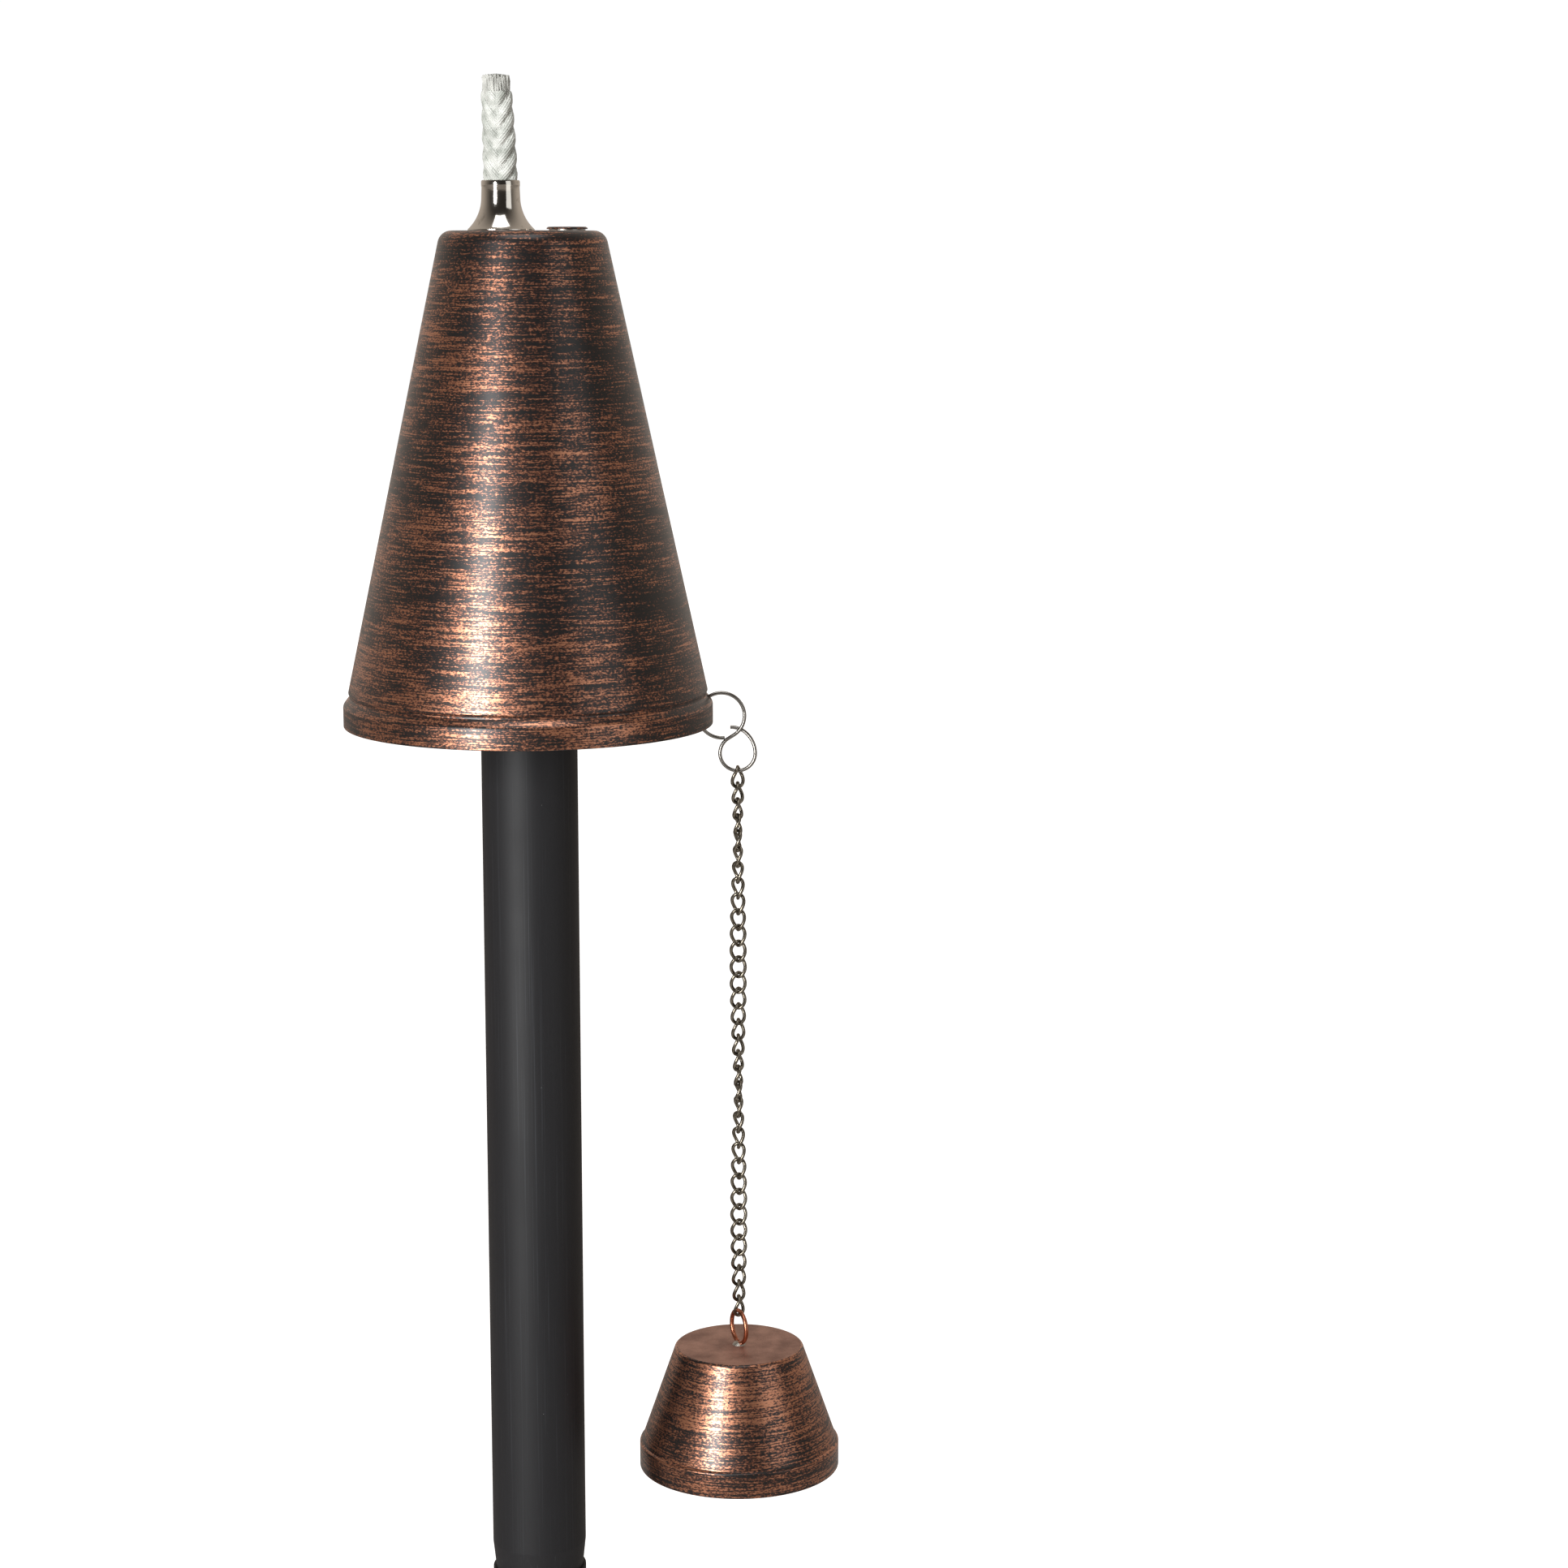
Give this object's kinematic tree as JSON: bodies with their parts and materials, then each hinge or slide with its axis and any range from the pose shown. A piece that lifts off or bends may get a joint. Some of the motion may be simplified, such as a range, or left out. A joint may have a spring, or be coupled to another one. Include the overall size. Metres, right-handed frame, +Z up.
{
  "type": "tiki torch",
  "caption": "Garden oil torch: cone-shaped metal head with a wick in a flared ferrule, on a sectional black pole with a ground spike, and a snuffer cap hung on a twisted chain.",
  "frame": {"origin": "on the pole's axis at ground level, where the pole's foot meets the spike's collar", "axes": "+Z up along the pole, +X towards the hook and the hanging snuffer, -Y towards the front"},
  "size_m": [0.1632, 0.1212, 1.4443],
  "materials": {
    "spike_plastic": "moulded, fine matte texture",
    "pole_black": "satin black powder coat",
    "copper_black": "black base brushed through to copper in fine level streaks, satin lacquer",
    "pan_black": "black enamel",
    "plated_steel": "dull plated steel",
    "nickel": "bright nickel plate",
    "glass_braid": "plaited white glass fibre",
    "glass_core": "loose white glass fibre",
    "seal_rubber": "matte black",
    "hook_wire": "zinc-plated wire",
    "chain_steel": "antique nickel plate",
    "copper_wire": "bare copper-plated wire",
    "solder": "dull solder"
  },
  "bodies": {
    "spike": {"ground_spike": "spike_plastic"},
    "lower_pole": {"pole_lower": "pole_black"},
    "middle_pole": {"pole_middle": "pole_black"},
    "upper_pole": {"pole_upper": "pole_black"},
    "head": {"head_shell": "copper_black", "base_pan": "pan_black", "pole_socket": "pan_black", "wick_tube": "plated_steel", "wick_ferrule": "nickel", "filler_neck": "plated_steel", "s_hook": "hook_wire"},
    "wick": {"wick_sheath": "glass_braid", "wick_core": "glass_core"},
    "cap": {"filler_cap": "nickel", "filler_seal": "seal_rubber"},
    "links_1": {"chain_1": "chain_steel"},
    "links_2": {"chain_2": "chain_steel"},
    "links_3": {"chain_3": "chain_steel"},
    "links_4": {"chain_4": "chain_steel"},
    "links_5": {"chain_5": "chain_steel"},
    "links_6": {"chain_6": "chain_steel"},
    "links_7": {"chain_7": "chain_steel"},
    "snuffer": {"snuffer_ring": "copper_wire", "ring_solder": "solder", "snuffer_shell": "copper_black"}
  },
  "joints": [
    {"name": "lower_pole_lift", "type": "slide", "parent": "spike", "child": "lower_pole", "axis": [0, 0, 1], "range_m": [0, 0.045]},
    {"name": "middle_pole_lift", "type": "slide", "parent": "lower_pole", "child": "middle_pole", "axis": [0, 0, 1], "range_m": [0, 0.06]},
    {"name": "upper_pole_lift", "type": "slide", "parent": "middle_pole", "child": "upper_pole", "axis": [0, 0, 1], "range_m": [0, 0.06]},
    {"name": "head_lift", "type": "slide", "parent": "upper_pole", "child": "head", "axis": [0, 0, 1], "range_m": [0, 0.09]},
    {"name": "wick_feed", "type": "slide", "parent": "head", "child": "wick", "axis": [0, 0, 1], "range_m": [-0.028, 0.01], "deforming": ["wick_sheath", "wick_core"]},
    {"name": "cap_lift", "type": "slide", "parent": "head", "child": "cap", "axis": [0, 0, 1], "range_m": [0, 0.02]},
    {"name": "links_1_swing", "type": "hinge", "parent": "head", "child": "links_1", "pos_m": [0.0687, 0, 1.04356], "axis": [1, 0, 0], "range_deg": [-14, 14]},
    {"name": "links_2_swing", "type": "hinge", "parent": "links_1", "child": "links_2", "pos_m": [0.0687, 0, 1.0173], "axis": [0, 1, 0], "range_deg": [-14, 4]},
    {"name": "links_3_swing", "type": "hinge", "parent": "links_2", "child": "links_3", "pos_m": [0.0687, 0, 0.99055], "axis": [1, 0, 0], "range_deg": [-14, 14]},
    {"name": "links_4_swing", "type": "hinge", "parent": "links_3", "child": "links_4", "pos_m": [0.0687, 0, 0.9638], "axis": [0, -1, 0], "range_deg": [-5, 14]},
    {"name": "links_5_swing", "type": "hinge", "parent": "links_4", "child": "links_5", "pos_m": [0.0687, 0, 0.93705], "axis": [1, 0, 0], "range_deg": [-14, 14]},
    {"name": "links_6_swing", "type": "hinge", "parent": "links_5", "child": "links_6", "pos_m": [0.0687, 0, 0.9103], "axis": [0, 1, 0], "range_deg": [-14, 8]},
    {"name": "links_7_swing", "type": "hinge", "parent": "links_6", "child": "links_7", "pos_m": [0.0687, 0, 0.88355], "axis": [1, 0, 0], "range_deg": [-14, 14]},
    {"name": "snuffer_swing", "type": "hinge", "parent": "links_7", "child": "snuffer", "pos_m": [0.0687, 0, 0.85682], "axis": [0.891, 0.454, 0], "range_deg": [-20, 20]}
  ]
}
